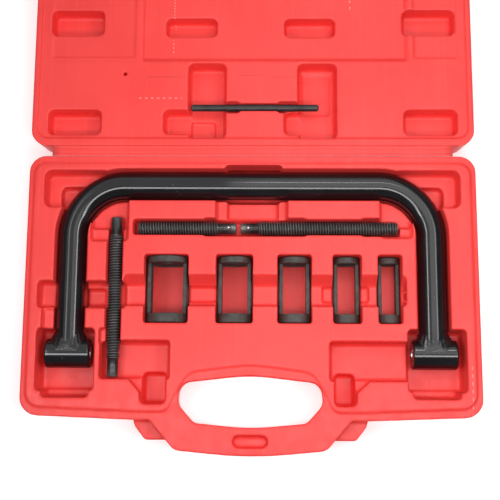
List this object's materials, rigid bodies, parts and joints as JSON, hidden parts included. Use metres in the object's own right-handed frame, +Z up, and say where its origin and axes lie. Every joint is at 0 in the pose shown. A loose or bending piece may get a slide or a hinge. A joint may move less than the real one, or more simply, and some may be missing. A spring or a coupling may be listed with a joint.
{
  "type": "spring compressor set",
  "caption": "C-frame spring compressor with threaded spindles, windowed spring cups and a tommy bar, lying in an open blow-moulded case with a handle.",
  "frame": {"origin": "on the table, below the middle of the hinge line between the two case halves", "axes": "+Z up; +X along the hinge to the right; +Y from the base half towards the lid half"},
  "size_m": [0.316, 0.4248, 0.0361],
  "materials": {
    "red_plastic": "satin",
    "black_paint": "gloss",
    "black_oxide": "satin, oiled black oxide",
    "phosphate": "matt phosphate",
    "bright_steel": "polished"
  },
  "bodies": {
    "case": {"case_base": "red_plastic", "hinge_web_base": "red_plastic"},
    "lid": {"case_lid": "red_plastic", "hinge_web_lid": "red_plastic"},
    "c_frame": {"frame_tube": "black_paint", "left_boss": "black_paint", "right_boss": "black_paint", "left_weld": "black_paint", "right_weld": "black_paint"},
    "short_spindle": {"short_spindle": "black_oxide", "short_detent_spring": "bright_steel"},
    "short_ball": {"short_detent_ball": "bright_steel"},
    "medium_spindle": {"medium_spindle": "black_oxide", "medium_detent_spring": "bright_steel"},
    "medium_ball": {"medium_detent_ball": "bright_steel"},
    "long_spindle": {"long_spindle": "black_oxide"},
    "adaptor_30": {"adaptor_30": "phosphate"},
    "adaptor_25": {"adaptor_25": "phosphate"},
    "adaptor_23": {"adaptor_23": "phosphate"},
    "adaptor_19": {"adaptor_19": "phosphate"},
    "adaptor_16": {"adaptor_16": "phosphate"},
    "tommy_bar": {"tommy_bar": "black_oxide"}
  },
  "joints": [
    {"name": "lid_hinge", "type": "hinge", "parent": "case", "child": "lid", "pos_m": [0, 0, 0.03265], "axis": [-1, 0, 0], "range_deg": [-180, 0]},
    {"name": "frame_lift", "type": "slide", "parent": "case", "child": "c_frame", "axis": [0, 0, 1], "range_m": [0, 0.06]},
    {"name": "short_spindle_lift", "type": "slide", "parent": "case", "child": "short_spindle", "axis": [0, 0, 1], "range_m": [0, 0.06]},
    {"name": "medium_spindle_lift", "type": "slide", "parent": "case", "child": "medium_spindle", "axis": [0, 0, 1], "range_m": [0, 0.06]},
    {"name": "long_spindle_lift", "type": "slide", "parent": "case", "child": "long_spindle", "axis": [0, 0, 1], "range_m": [0, 0.06]},
    {"name": "adaptor_30_lift", "type": "slide", "parent": "case", "child": "adaptor_30", "axis": [0, 0, 1], "range_m": [0, 0.06]},
    {"name": "adaptor_25_lift", "type": "slide", "parent": "case", "child": "adaptor_25", "axis": [0, 0, 1], "range_m": [0, 0.06]},
    {"name": "adaptor_23_lift", "type": "slide", "parent": "case", "child": "adaptor_23", "axis": [0, 0, 1], "range_m": [0, 0.06]},
    {"name": "adaptor_19_lift", "type": "slide", "parent": "case", "child": "adaptor_19", "axis": [0, 0, 1], "range_m": [0, 0.06]},
    {"name": "adaptor_16_lift", "type": "slide", "parent": "case", "child": "adaptor_16", "axis": [0, 0, 1], "range_m": [0, 0.06]},
    {"name": "tommy_bar_lift", "type": "slide", "parent": "lid", "child": "tommy_bar", "axis": [0, 0, 1], "range_m": [0, 0.04]},
    {"name": "short_ball_press", "type": "slide", "parent": "short_spindle", "child": "short_ball", "axis": [0, 0, 1], "range_m": [-0.0006, 0], "stiffness_N_per_m": 400, "deforming": ["short_detent_spring"]},
    {"name": "medium_ball_press", "type": "slide", "parent": "medium_spindle", "child": "medium_ball", "axis": [0, 0, 1], "range_m": [-0.0006, 0], "stiffness_N_per_m": 400, "deforming": ["medium_detent_spring"]}
  ]
}
